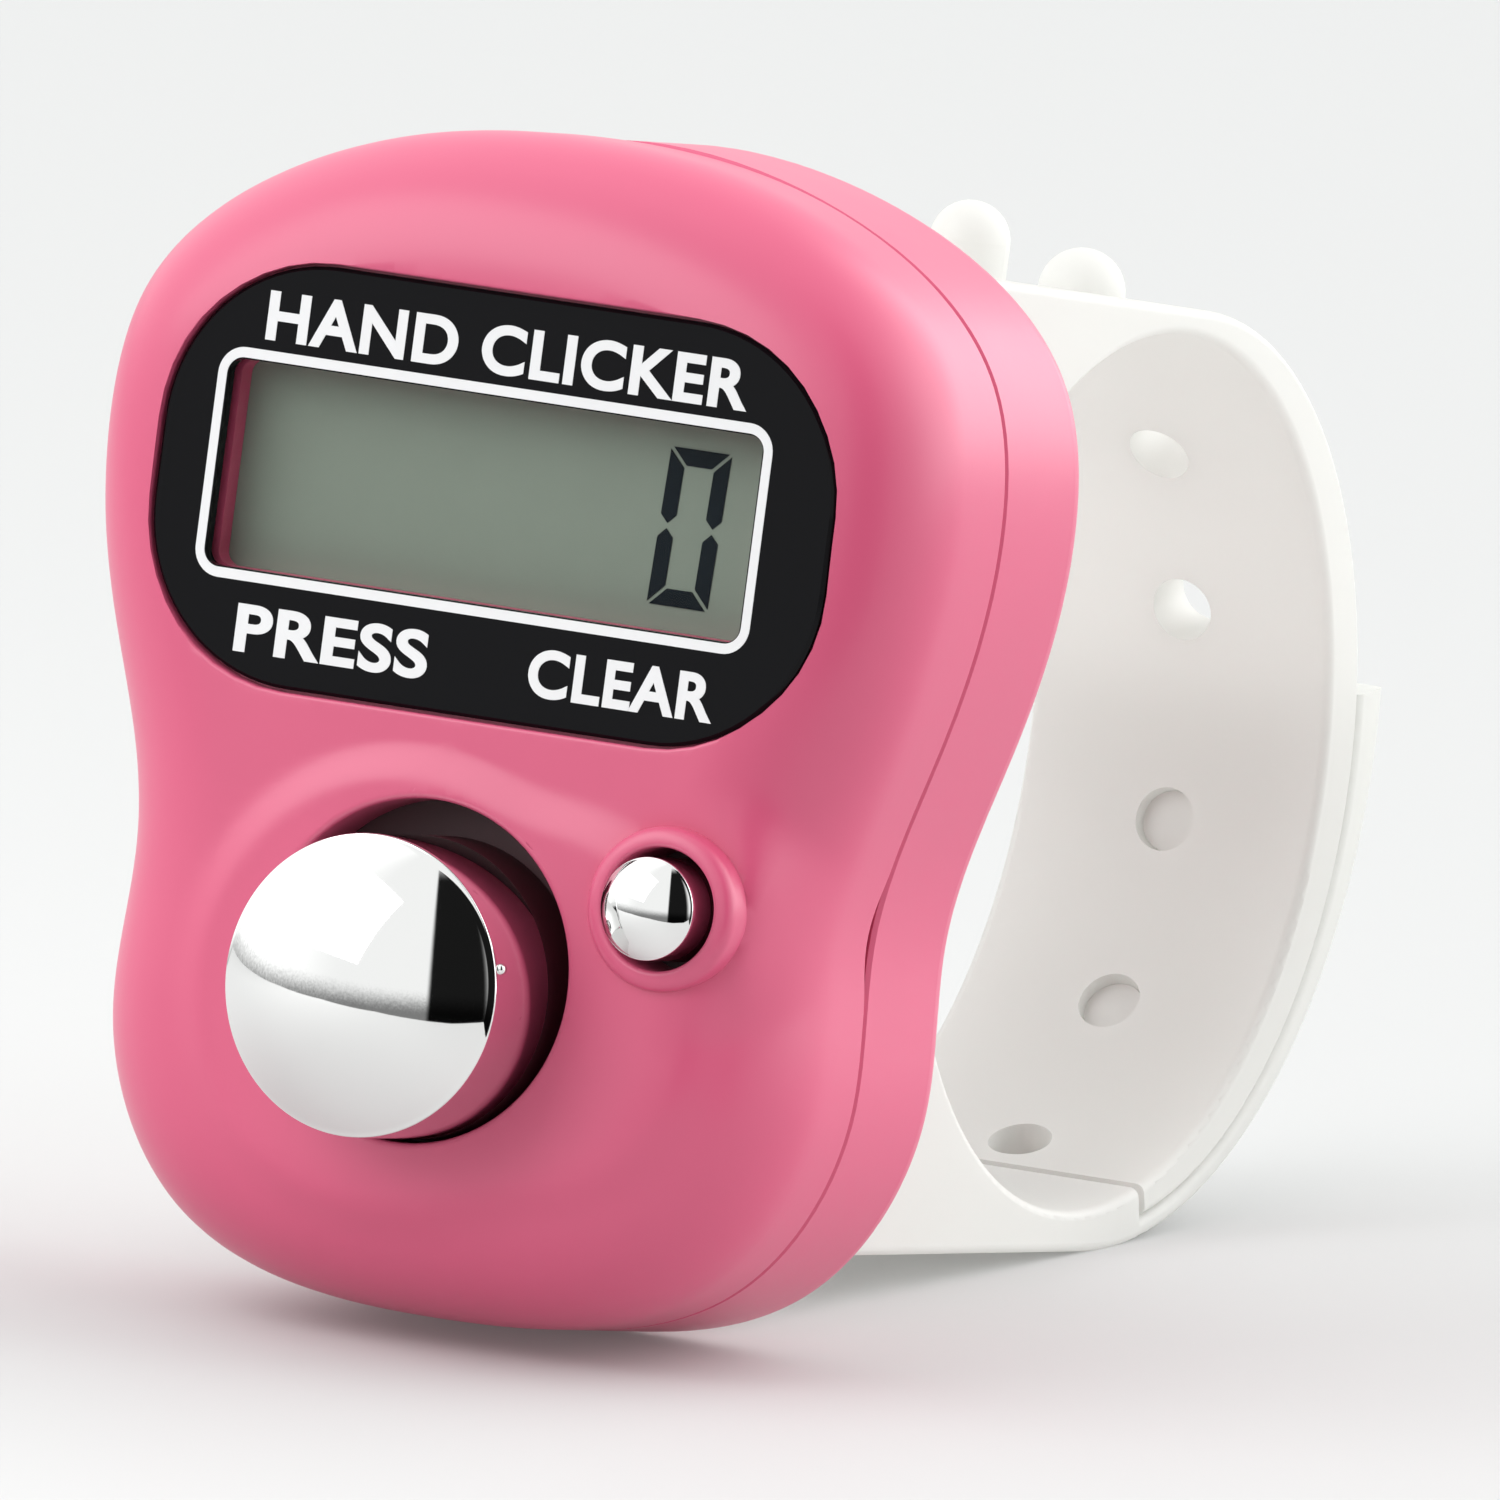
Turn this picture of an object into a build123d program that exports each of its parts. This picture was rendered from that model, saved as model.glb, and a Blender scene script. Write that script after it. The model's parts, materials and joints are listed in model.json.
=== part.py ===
from build123d import *
from math import asin, atan2, cos, degrees, hypot, radians, sin
import os

os.makedirs("parts", exist_ok=True)

# A finger-worn electronic tally counter: a plastic case with a display, two buttons and a ring strap.
# The case is drawn face-on. X runs across it, H runs up it, and depth runs back from the label plate's front.
# The whole model leans back, because it stands on the case's heel and the bottom of the strap.

# Driving dimensions, in millimetres and degrees
CASE_DEPTH = 13.3            # label plate front to back cover
FACE_RISE = 0.25             # the case's front face stands proud of the label plate
PARTING = 7.0                # depth where the two case halves meet
WALL = 1.3
FRONT_ROUND = 4.9
HOLLOW_ROUND = 0.8
HEEL_ROUND = 1.2
GROOVE = 0.14                # bevel on both halves at the parting line
REST_FLAT = 0.06             # depth of the small flats that the case's heel and the strap stand on
FIT = 0.05                   # clearance between pieces that fit together
THREAD_GAP = 0.02            # clearance of screws, pins and stacked sheets
CUT = 2.0                    # how far a cutting shape runs on past a surface

LABEL_W, LABEL_H, LABEL_CORNER, LABEL_T = 25.3, 14.2, 5.8, 0.45
LABEL_BEVEL = 0.12
LABEL_SPOT = (0.35, -0.15)   # middle of the label plate, from the display's middle
WINDOW_W, WINDOW_H, WINDOW_CORNER = 20.2, 6.95, 0.5
PANE_LAP, PANE_T = 0.8, 0.5
LCD_DEPTH = 1.7              # front of the display, and the inner side of the case's front wall

COUNT_X, COUNT_H = -0.04, -16.4
COUNT_HOLE_H = -15.85        # the button hangs a little low in its hole
COUNT_HOLE_R, COUNT_R, COUNT_RIM, COUNT_DOME = 5.75, 5.08, 4.25, 2.1
COUNT_TRAVEL = 0.7
RESET_X, RESET_H = 8.92, -12.55
RESET_HOLE_R, RESET_R, RESET_RIM, RESET_DOME = 2.07, 1.73, 1.8, 0.75
RESET_COLLAR_R, RESET_COLLAR, COLLAR_ROUND = 2.8, 0.6, 0.42
RESET_TRAVEL = 0.45

BOARD_DEPTH, BOARD_T, BOARD_GAP = 5.0, 0.8, 0.5
CELL_R, CELL_T, CELL_DEPTH, CELL_H = 5.8, 3.05, 8.1, -7.2
DOOR_R, DOOR_LUG_R, DOOR_LUG_T = 6.2, 7.2, 0.5

STRAP_W = 11.4
STRAP_EDGE = 0.32
RING_DEPTH, RING_H, RING_R = 39.0, -7.7, 15.0
UPPER_SHIFT, UPPER_R = (1.5, 0.1), 15.75
LOWER_SHIFT, LOWER_R = (1.4, 1.15), 17.53
FOOT_ANGLE = 150.0           # the feet follow the ring round to this angle from straight back
UPPER_END, LOWER_END, END_GAP_ANGLE = -69.0, 10.0, 1.5
HOLE_R, HOLE_ANGLES = 1.1, (44.0, 20.0, -8.0, -34.0, -62.0)
PEG_ANGLES = (-8.0, -34.0)

# Where the case touches the ground, and how far it leans
case_top, case_bottom = 12.3, -27.5
heel = (CASE_DEPTH - HEEL_ROUND, case_bottom + HEEL_ROUND)
upper_centre = (RING_DEPTH + UPPER_SHIFT[0], RING_H + UPPER_SHIFT[1])
lower_centre = (RING_DEPTH + LOWER_SHIFT[0], RING_H + LOWER_SHIFT[1])
run, climb = lower_centre[0] - heel[0], lower_centre[1] - heel[1]
LEAN = atan2(climb, run) - asin((LOWER_R - HEEL_ROUND) / hypot(run, climb))
back = Vector(0, cos(LEAN), -sin(LEAN))
up = Vector(0, sin(LEAN), cos(LEAN))

# The origin is on the ground, under the middle of the whole model
count_ball_r = (COUNT_R**2 + COUNT_DOME**2) / (2 * COUNT_DOME)
count_ball = back * (count_ball_r - COUNT_RIM - COUNT_DOME) + up * COUNT_H
front_most = count_ball.Y - count_ball_r
rear_most = (back * lower_centre[0] + up * lower_centre[1]).Y + LOWER_R
lowest = (back * heel[0] + up * heel[1]).Z - HEEL_ROUND
face_origin = Vector(0, -(front_most + rear_most) / 2, -lowest - REST_FLAT)

FACE = Plane(origin=face_origin, x_dir=(1, 0, 0), z_dir=-back)
SIDE = Plane(origin=face_origin, x_dir=back, z_dir=(1, 0, 0))


def at_depth(depth):
    """The face-on plane this far behind the label plate's front."""
    return FACE.offset(-depth)


def through(x, h):
    """A plane through the line that runs straight back from (x, h); its y runs out of the face."""
    return Plane(origin=FACE.from_local_coords((x, h, 0)), x_dir=(1, 0, 0), z_dir=-up)


def line_back(x, h):
    """The line that runs out of the face at (x, h)."""
    return Axis(FACE.from_local_coords((x, h, 0)), -back)


def on_ring(angle, radius=RING_R):
    """A point round the ring, in depth and height; 0 degrees is straight back and 90 is up."""
    return (RING_DEPTH + radius * cos(radians(angle)), RING_H + radius * sin(radians(angle)))


def stand_flat():
    """Cuts the current part off level with the ground."""
    Box(100, 100, CUT, align=(Align.CENTER, Align.CENTER, Align.MAX), mode=Mode.SUBTRACT)


def finish(part, name, colour):
    """Names a finished piece and writes it."""
    part.label = name
    part.color = Color(*colour)
    export_step(part, f"parts/{name}.step")


PINK, BLACK, STEEL, CLEAR = (0.85, 0.35, 0.5), (0.03, 0.03, 0.03), (0.75, 0.75, 0.77), (0.8, 0.88, 0.9)
GREEN, SILICONE, GREY, GOLD = (0.1, 0.4, 0.2), (0.9, 0.9, 0.87), (0.5, 0.55, 0.5), (0.8, 0.65, 0.3)

# ---------------------------------------------------------------- case

# the case's outline is one smooth closed curve, wide round the display and waisted beside the buttons
right_side = [
    (9.5, 10.5), (14.9, 5.9), (15.85, 1.2), (14.65, -6.3), (13.05, -12.9), (13.1, -19.0), (10.0, -25.0),
]
left_side = [(-x, h) for x, h in reversed(right_side)]

with BuildLine() as case_curve:
    Spline((0, case_top), *right_side, (0, case_bottom), *left_side, periodic=True)

with BuildSketch() as case_outline:
    add(case_curve.line)
    make_face()

OUTLINE_STEPS = 32


def inset_outline(inset):
    """The case's outline pulled in by a distance, as one smooth closed curve."""
    rim = case_curve.edge()
    points = []
    for step in range(OUTLINE_STEPS):
        point, along = rim.position_at(step / OUTLINE_STEPS), rim.tangent_at(step / OUTLINE_STEPS)
        points.append((point.X + along.Y * inset, point.Y - along.X * inset))
    with BuildSketch() as inner:
        with BuildLine():
            Spline(*points, periodic=True)
        make_face()
    return inner.sketch


SCREW_SPOTS = [(-8.8, 7.7), (8.8, 7.7), (-9.7, -20.4), (9.7, -20.4)]
BOARD_SPOTS = [(-12.9, -0.5), (12.9, -0.5), (0, -24.5)]
SCREW_R, SCREW_HEAD_R, BOSS_R = 0.75, 1.4, 1.7
BOARD_SCREW_R, BOARD_HEAD_R, POST_R = 0.45, 0.85, 1.15
SCREW_HEAD_T, SCREW_HEAD_ROUND, SCREW_HEAD_SUNK, SCREW_BORE = 0.85, 0.25, 0.1, 3.4
CROSS_LONG, CROSS_WIDE, CROSS_DEEP = 1.7, 0.35, 0.45
BOARD_SCREW_BORE, BOARD_HEAD_T, BOARD_SLOT = 2.2, 0.6, (1.1, 0.25, 0.3)

with BuildPart() as case_hollow:
    with BuildSketch(at_depth(PARTING)):
        add(inset_outline(WALL))
    extrude(amount=PARTING - LCD_DEPTH)
    fillet(case_hollow.faces().sort_by(Axis(face_origin, -back))[-1].edges(), HOLLOW_ROUND)

with BuildPart() as front_housing:
    with BuildSketch(at_depth(PARTING)):
        add(case_outline.sketch)
    extrude(amount=PARTING + FACE_RISE)
    fillet(front_housing.faces().sort_by(Axis(face_origin, -back))[-1].edges(), FRONT_ROUND)
    chamfer(front_housing.faces().sort_by(Axis(face_origin, -back))[0].edges(), GROOVE)
    # rounded collar round the reset button
    with BuildSketch(through(RESET_X, RESET_H)):
        with BuildLine():
            crown = (RESET_COLLAR_R - COLLAR_ROUND, FACE_RISE + RESET_COLLAR)
            shoulder = (RESET_COLLAR_R, crown[1] - COLLAR_ROUND)
            Line((0, 0), (0, crown[1]))
            Line((0, crown[1]), crown)
            RadiusArc(crown, shoulder, COLLAR_ROUND)
            Line(shoulder, (RESET_COLLAR_R, 0))
            Line((RESET_COLLAR_R, 0), (0, 0))
        make_face()
    revolve(axis=line_back(RESET_X, RESET_H))
    add(case_hollow.part, mode=Mode.SUBTRACT)
    # bosses for the case screws and posts for the board
    with BuildSketch(at_depth(PARTING)):
        with Locations(*SCREW_SPOTS):
            Circle(BOSS_R)
    extrude(amount=PARTING - LCD_DEPTH)
    with BuildSketch(at_depth(BOARD_DEPTH)):
        with Locations(*BOARD_SPOTS):
            Circle(POST_R)
    extrude(amount=BOARD_DEPTH - LCD_DEPTH)
    with BuildSketch(at_depth(PARTING)):
        with Locations(*SCREW_SPOTS):
            Circle(SCREW_R + THREAD_GAP)
    extrude(amount=SCREW_BORE, mode=Mode.SUBTRACT)
    with BuildSketch(at_depth(BOARD_DEPTH)):
        with Locations(*BOARD_SPOTS):
            Circle(BOARD_SCREW_R + THREAD_GAP)
    extrude(amount=BOARD_SCREW_BORE, mode=Mode.SUBTRACT)
    # recess for the label plate, rebate for the pane and the window itself
    with BuildSketch(at_depth(LABEL_T)):
        with Locations(LABEL_SPOT):
            RectangleRounded(LABEL_W + 4 * FIT, LABEL_H + 4 * FIT, LABEL_CORNER + 2 * FIT)
    extrude(amount=LABEL_T + CUT, mode=Mode.SUBTRACT)
    with BuildSketch(at_depth(LABEL_T + PANE_T + THREAD_GAP)):
        Rectangle(WINDOW_W + 2 * PANE_LAP + 2 * FIT, WINDOW_H + 2 * PANE_LAP + 2 * FIT)
    extrude(amount=CUT, mode=Mode.SUBTRACT)
    with BuildSketch(at_depth(PARTING)):
        RectangleRounded(WINDOW_W, WINDOW_H, WINDOW_CORNER)
    extrude(amount=PARTING, mode=Mode.SUBTRACT)
    # button holes
    with BuildSketch(at_depth(PARTING)):
        with Locations((COUNT_X, COUNT_HOLE_H)):
            Circle(COUNT_HOLE_R)
        with Locations((RESET_X, RESET_H)):
            Circle(RESET_HOLE_R)
    extrude(amount=PARTING + CUT, mode=Mode.SUBTRACT)
finish(front_housing.part, "front_housing", PINK)

with BuildPart() as cover_hollow:
    with BuildSketch(at_depth(CASE_DEPTH - WALL)):
        add(inset_outline(WALL))
    extrude(amount=CASE_DEPTH - WALL - PARTING + CUT)

LIP_T, LIP_H = 0.7, 1.0
DOOR_NOTCH_TURN = 45.0       # the battery door turns this far from locked to where it lifts out
NOTCH_W, LUG_W = 3.4, 3.0
SLOT_H, TONGUE_T, TONGUE_W = 2.6, 2.5, 10.6
UPPER_SLOT, LOWER_SLOT = 5.6, -20.9

with BuildPart() as back_cover:
    with BuildSketch(at_depth(CASE_DEPTH)):
        add(case_outline.sketch)
    extrude(amount=CASE_DEPTH - PARTING)
    fillet(back_cover.faces().sort_by(Axis(face_origin, back))[-1].edges(), HEEL_ROUND)
    chamfer(back_cover.faces().sort_by(Axis(face_origin, back))[0].edges(), GROOVE)
    add(cover_hollow.part, mode=Mode.SUBTRACT)
    # lip that locates the cover inside the front housing
    with BuildSketch(at_depth(PARTING + WALL)):
        add(inset_outline(WALL + FIT))
        add(inset_outline(WALL + FIT + LIP_T), mode=Mode.SUBTRACT)
    extrude(amount=LIP_H + WALL)
    with BuildSketch(at_depth(PARTING)):
        with Locations(*SCREW_SPOTS):
            Circle(BOSS_R + 2 * FIT)
    extrude(amount=LIP_H + CUT, mode=Mode.SUBTRACT)
    # screw pillars, bored and counterbored from the back
    with BuildSketch(at_depth(CASE_DEPTH - WALL)):
        with Locations(*SCREW_SPOTS):
            Circle(BOSS_R)
    extrude(amount=CASE_DEPTH - WALL - PARTING - FIT)
    with BuildSketch(at_depth(CASE_DEPTH)):
        with Locations(*SCREW_SPOTS):
            Circle(SCREW_R + 2 * FIT)
    extrude(amount=CASE_DEPTH, mode=Mode.SUBTRACT)
    with BuildSketch(at_depth(CASE_DEPTH)):
        with Locations(*SCREW_SPOTS):
            Circle(SCREW_HEAD_R + 2 * FIT)
    extrude(amount=SCREW_HEAD_SUNK + SCREW_HEAD_T + FIT, mode=Mode.SUBTRACT)
    # battery opening with its two bayonet notches
    with BuildSketch(at_depth(CASE_DEPTH)):
        with Locations((0, CELL_H)):
            Circle(DOOR_R + 2 * FIT)
            Rectangle(2 * DOOR_LUG_R + 4 * FIT, NOTCH_W, rotation=DOOR_NOTCH_TURN)
    extrude(amount=WALL, mode=Mode.SUBTRACT)
    # slots for the strap's two tongues
    with BuildSketch(at_depth(CASE_DEPTH)):
        with Locations((0, UPPER_SLOT), (0, LOWER_SLOT)):
            Rectangle(TONGUE_W + 2 * FIT, SLOT_H)
    extrude(amount=WALL, mode=Mode.SUBTRACT)
    stand_flat()
finish(back_cover.part, "back_cover", PINK)

head_back = CASE_DEPTH - SCREW_HEAD_SUNK

with BuildPart() as case_screws:
    with BuildSketch(at_depth(head_back)):
        with Locations(*SCREW_SPOTS):
            Circle(SCREW_HEAD_R)
    extrude(amount=SCREW_HEAD_T)
    fillet(case_screws.edges().group_by(Axis(face_origin, back))[-1], SCREW_HEAD_ROUND)
    with BuildSketch(at_depth(head_back - CROSS_DEEP)):
        with Locations(*SCREW_SPOTS):
            Circle(SCREW_R)
    extrude(amount=head_back - CROSS_DEEP - (PARTING - SCREW_BORE) - FIT)
    with BuildSketch(at_depth(head_back)):
        with Locations(*SCREW_SPOTS):
            Rectangle(CROSS_LONG, CROSS_WIDE)
            Rectangle(CROSS_WIDE, CROSS_LONG)
    extrude(amount=CROSS_DEEP, mode=Mode.SUBTRACT)
finish(case_screws.part, "case_screws", STEEL)

# ---------------------------------------------------------------- label, pane and display

with BuildPart() as label_plate:
    with BuildSketch(at_depth(LABEL_T)):
        with Locations(LABEL_SPOT):
            RectangleRounded(LABEL_W, LABEL_H, LABEL_CORNER)
        RectangleRounded(WINDOW_W, WINDOW_H, WINDOW_CORNER, mode=Mode.SUBTRACT)
    extrude(amount=LABEL_T)
    chamfer(label_plate.faces().sort_by(Axis(face_origin, -back))[-1].outer_wire().edges(), LABEL_BEVEL)
finish(label_plate.part, "label_plate", BLACK)

with BuildPart() as window_pane:
    with BuildSketch(at_depth(LABEL_T + PANE_T)):
        Rectangle(WINDOW_W + 2 * PANE_LAP, WINDOW_H + 2 * PANE_LAP)
    extrude(amount=PANE_T)
finish(window_pane.part, "window_pane", CLEAR)

FILM_T, GLASS_T, SEGMENT_T, FILM_INSET = 0.14, 0.5, 0.03, 0.3
LCD_W, LCD_BOTTOM, LCD_TOP, LEDGE = 22.6, -4.3, 5.5, 1.5
front_film_back = LCD_DEPTH + THREAD_GAP + FILM_T
front_glass_back = front_film_back + GLASS_T
rear_glass_front = front_glass_back + SEGMENT_T + THREAD_GAP
rear_glass_back = rear_glass_front + GLASS_T
rear_film_back = rear_glass_back + FILM_T


def lcd_layer(sheet_back, thickness, top, side_inset=0.0):
    """One rectangular layer of the display, drawn in the current part."""
    with BuildSketch(at_depth(sheet_back)) as layer:
        with Locations((0, (top + LCD_BOTTOM) / 2)):
            Rectangle(LCD_W - 2 * side_inset, top - LCD_BOTTOM - 2 * side_inset)
    extrude(layer.sketch, amount=thickness)


with BuildPart() as lcd_front_film:
    lcd_layer(front_film_back, FILM_T, LCD_TOP - LEDGE, FILM_INSET)
finish(lcd_front_film.part, "lcd_front_film", CLEAR)

with BuildPart() as lcd_front_glass:
    lcd_layer(front_glass_back, GLASS_T, LCD_TOP)
finish(lcd_front_glass.part, "lcd_front_glass", CLEAR)

with BuildPart() as lcd_rear_glass:
    lcd_layer(rear_glass_back, GLASS_T, LCD_TOP - LEDGE)
finish(lcd_rear_glass.part, "lcd_rear_glass", CLEAR)

with BuildPart() as lcd_reflector:
    lcd_layer(rear_film_back, FILM_T, LCD_TOP - LEDGE, FILM_INSET)
finish(lcd_reflector.part, "lcd_reflector", GREY)

# seven-segment zero: six mitred bars round a rectangle, with no bar across the middle
DIGIT_X, DIGIT_W, DIGIT_H, BAR, BAR_GAP = 6.95, 2.25, 5.25, 0.52, 0.11


def bar_outline(half_run):
    """A bar along X with mitred ends, its outer edge on top."""
    return [
        (-half_run + BAR_GAP, BAR), (half_run - BAR_GAP, BAR),
        (half_run - BAR - BAR_GAP, 0), (-half_run + BAR + BAR_GAP, 0),
    ]


with BuildPart() as digit_segments:
    with BuildSketch(at_depth(front_glass_back + SEGMENT_T)) as digit:
        half_w, half_h = DIGIT_W / 2, DIGIT_H / 2
        for side in (1, -1):
            with Locations(Location((DIGIT_X, side * (half_h - BAR)), 0 if side > 0 else 180)):
                Polygon(*bar_outline(half_w), align=None)
            for end in (1, -1):
                across, along = side * (half_w - BAR), end * half_h / 2
                with Locations(Location((DIGIT_X + across, along), -90 * side)):
                    Polygon(*bar_outline(half_h / 2), align=None)
    extrude(amount=SEGMENT_T)
finish(digit_segments.part, "digit_segments", BLACK)

HOLDER_W, HOLDER_RIM, ZEBRA_W, ZEBRA_T = 22.4, 2.0, 20.0, 1.2

with BuildPart() as lcd_holder:
    with BuildSketch(at_depth(BOARD_DEPTH - FIT)):
        holder_h = LCD_TOP - LEDGE - LCD_BOTTOM
        with Locations((0, (LCD_TOP - LEDGE + LCD_BOTTOM) / 2)):
            Rectangle(HOLDER_W, holder_h)
            Rectangle(HOLDER_W - 2 * HOLDER_RIM, holder_h - 2 * HOLDER_RIM, mode=Mode.SUBTRACT)
    extrude(amount=BOARD_DEPTH - FIT - rear_film_back - FIT)
finish(lcd_holder.part, "lcd_holder", BLACK)

with BuildPart() as zebra_strip:
    with BuildSketch(at_depth(BOARD_DEPTH - THREAD_GAP)):
        with Locations((0, LCD_TOP - LEDGE / 2)):
            Rectangle(ZEBRA_W, ZEBRA_T)
    extrude(amount=BOARD_DEPTH - front_glass_back - 2 * THREAD_GAP)
finish(zebra_strip.part, "zebra_strip", (0.8, 0.4, 0.5))

# ---------------------------------------------------------------- board and its parts

board_back = BOARD_DEPTH + BOARD_T
board_head_back = board_back + BOARD_HEAD_T + THREAD_GAP

with BuildPart() as circuit_board:
    with BuildSketch(at_depth(board_back)):
        add(inset_outline(WALL + BOARD_GAP))
        with Locations(*SCREW_SPOTS):
            Circle(BOSS_R + BOARD_GAP / 2, mode=Mode.SUBTRACT)
        with Locations(*BOARD_SPOTS):
            Circle(BOARD_SCREW_R + FIT, mode=Mode.SUBTRACT)
    extrude(amount=BOARD_T)
finish(circuit_board.part, "circuit_board", GREEN)

with BuildPart() as board_screws:
    with BuildSketch(at_depth(board_head_back)):
        with Locations(*BOARD_SPOTS):
            Circle(BOARD_HEAD_R)
    extrude(amount=BOARD_HEAD_T)
    with BuildSketch(at_depth(board_head_back - BOARD_HEAD_T / 2)):
        with Locations(*BOARD_SPOTS):
            Circle(BOARD_SCREW_R)
    extrude(amount=board_head_back - BOARD_HEAD_T / 2 - (BOARD_DEPTH - BOARD_SCREW_BORE) - FIT)
    with BuildSketch(at_depth(board_head_back)):
        with Locations(*BOARD_SPOTS):
            Rectangle(BOARD_SLOT[0], BOARD_SLOT[1])
    extrude(amount=BOARD_SLOT[2], mode=Mode.SUBTRACT)
finish(board_screws.part, "board_screws", STEEL)

CHIP_H, CHIP_R, CHIP_T, CHIP_ROUND = 5.4, 2.3, 0.85, 0.8

with BuildPart() as chip_blob:
    with BuildSketch(at_depth(board_back + CHIP_T)):
        with Locations((0, CHIP_H)):
            Circle(CHIP_R)
    extrude(amount=CHIP_T)
    fillet(chip_blob.edges().group_by(Axis(face_origin, back))[-1], CHIP_ROUND)
finish(chip_blob.part, "chip_blob", BLACK)

# one capacitor and two resistors: x, h, width, height and thickness of each
COMPONENTS = ((-6.5, 5.4, 2.0, 1.25, 0.7), (6.3, 6.2, 1.6, 0.8, 0.45), (6.3, 4.0, 1.6, 0.8, 0.45))

with BuildPart() as board_components:
    for x, h, wide, tall, thick in COMPONENTS:
        with BuildSketch(at_depth(board_back + thick)):
            with Locations((x, h)):
                Rectangle(wide, tall)
        extrude(amount=thick)
finish(board_components.part, "board_components", GOLD)

HOLDER_IN, HOLDER_OUT, HOLDER_BACK, HOLDER_GAP = CELL_R + 0.35, CELL_R + 1.1, 10.95, 2.6
CAP_T, CAP_INSET, CAN_ROUND = 0.35, 1.0, 0.3

with BuildPart() as battery_holder:
    with BuildSketch(at_depth(HOLDER_BACK)):
        with Locations((0, CELL_H)):
            Circle(HOLDER_OUT)
            Circle(HOLDER_IN, mode=Mode.SUBTRACT)
            Rectangle(HOLDER_GAP, 2 * HOLDER_OUT + CUT, mode=Mode.SUBTRACT)
    extrude(amount=HOLDER_BACK - board_back)
finish(battery_holder.part, "battery_holder", BLACK)

with BuildPart() as battery:
    with BuildSketch(at_depth(CELL_DEPTH + CELL_T)):
        with Locations((0, CELL_H)):
            Circle(CELL_R)
    extrude(amount=CELL_T - CAP_T)
    fillet(battery.edges().group_by(Axis(face_origin, back))[-1], CAN_ROUND)
    with BuildSketch(at_depth(CELL_DEPTH + CAP_T + FIT)):
        with Locations((0, CELL_H)):
            Circle(CELL_R - CAP_INSET)
    extrude(amount=CAP_T + FIT)
finish(battery.part, "battery", STEEL)

CONTACT_T, LEAF_W, SIDE_CONTACT_W, CONTACT_FOOT = 0.15, 3.0, 2.2, 0.6
spring_side = CELL_H + CELL_R + FIT

with BuildPart() as battery_contact_negative:
    with BuildSketch(SIDE):
        with BuildLine():
            leaf = Polyline(
                (board_back + 0.1, CELL_H - 3.6), (board_back + 0.1, CELL_H - 1.6),
                (CELL_DEPTH - 0.1, CELL_H + 1.0), (board_back + 0.25, CELL_H + 3.4),
            )
            offset(leaf, amount=CONTACT_T / 2, side=Side.BOTH)
        make_face()
    extrude(amount=LEAF_W / 2, both=True)
finish(battery_contact_negative.part, "battery_contact_negative", STEEL)

with BuildPart() as battery_contact_positive:
    with BuildSketch(SIDE):
        with BuildLine():
            Polyline(
                (board_back, CELL_H + HOLDER_OUT + CONTACT_FOOT), (board_back, spring_side),
                (HOLDER_BACK, spring_side), (HOLDER_BACK, spring_side + CONTACT_T),
                (board_back + CONTACT_T, spring_side + CONTACT_T),
                (board_back + CONTACT_T, CELL_H + HOLDER_OUT + CONTACT_FOOT), close=True,
            )
        make_face()
    extrude(amount=SIDE_CONTACT_W / 2, both=True)
finish(battery_contact_positive.part, "battery_contact_positive", STEEL)

DOOR_PROUD, DOOR_ROUND = 0.1, 0.2      # how far the door reaches inside the cover, and its rim's rounding
COIN_SLOT = (8.0, 1.3, 0.6)            # length, width and depth

with BuildPart() as battery_door:
    with BuildSketch(at_depth(CASE_DEPTH)):
        with Locations((0, CELL_H)):
            Circle(DOOR_R)
    extrude(amount=WALL + DOOR_PROUD)
    # two bayonet lugs that sit behind the cover's inner face when locked
    with BuildSketch(at_depth(CASE_DEPTH - WALL - FIT)):
        with Locations((0, CELL_H)):
            Circle(DOOR_R)
            Rectangle(2 * DOOR_LUG_R, LUG_W)
    extrude(amount=DOOR_LUG_T)
    # coin slot
    with BuildSketch(at_depth(CASE_DEPTH)):
        with Locations((0, CELL_H)):
            SlotOverall(COIN_SLOT[0], COIN_SLOT[1])
    extrude(amount=COIN_SLOT[2], mode=Mode.SUBTRACT)
    fillet(battery_door.faces().sort_by(Axis(face_origin, back))[-1].outer_wire().edges(), DOOR_ROUND)
finish(battery_door.part, "battery_door", PINK)

# ---------------------------------------------------------------- buttons and their rubber domes

FLANGE_T, FLANGE_GAP, SKIRT_WALL = 0.7, 0.12, 0.9
COUNT_LAP, RESET_LAP = 0.8, 0.34
COUNT_STEM_R, RESET_STEM_R, STEM_BACK = 1.7, 0.6, 3.4
flange_front = LCD_DEPTH + FLANGE_GAP


def button_profile(radius, flange_r, rim, dome, stem_r):
    """Half section of a button: a domed cap, a straight skirt, a retaining flange and a stem."""
    ball_r = (radius**2 + dome**2) / (2 * dome)
    flange_back = flange_front + FLANGE_T
    ceiling = rim - SKIRT_WALL / 2
    with BuildSketch() as section:
        with BuildLine():
            RadiusArc((0, rim + dome), (radius, rim), ball_r)
            Polyline(
                (radius, rim), (radius, -flange_front), (flange_r, -flange_front), (flange_r, -flange_back),
                (radius - SKIRT_WALL, -flange_back), (radius - SKIRT_WALL, ceiling), (stem_r, ceiling),
                (stem_r, -STEM_BACK), (0, -STEM_BACK), (0, rim + dome),
            )
        make_face()
    return section.sketch


with BuildPart() as count_button:
    with BuildSketch(through(COUNT_X, COUNT_H)):
        add(button_profile(COUNT_R, COUNT_HOLE_R + COUNT_LAP, COUNT_RIM, COUNT_DOME, COUNT_STEM_R))
    revolve(axis=line_back(COUNT_X, COUNT_H))
finish(count_button.part, "count_button", STEEL)

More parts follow.
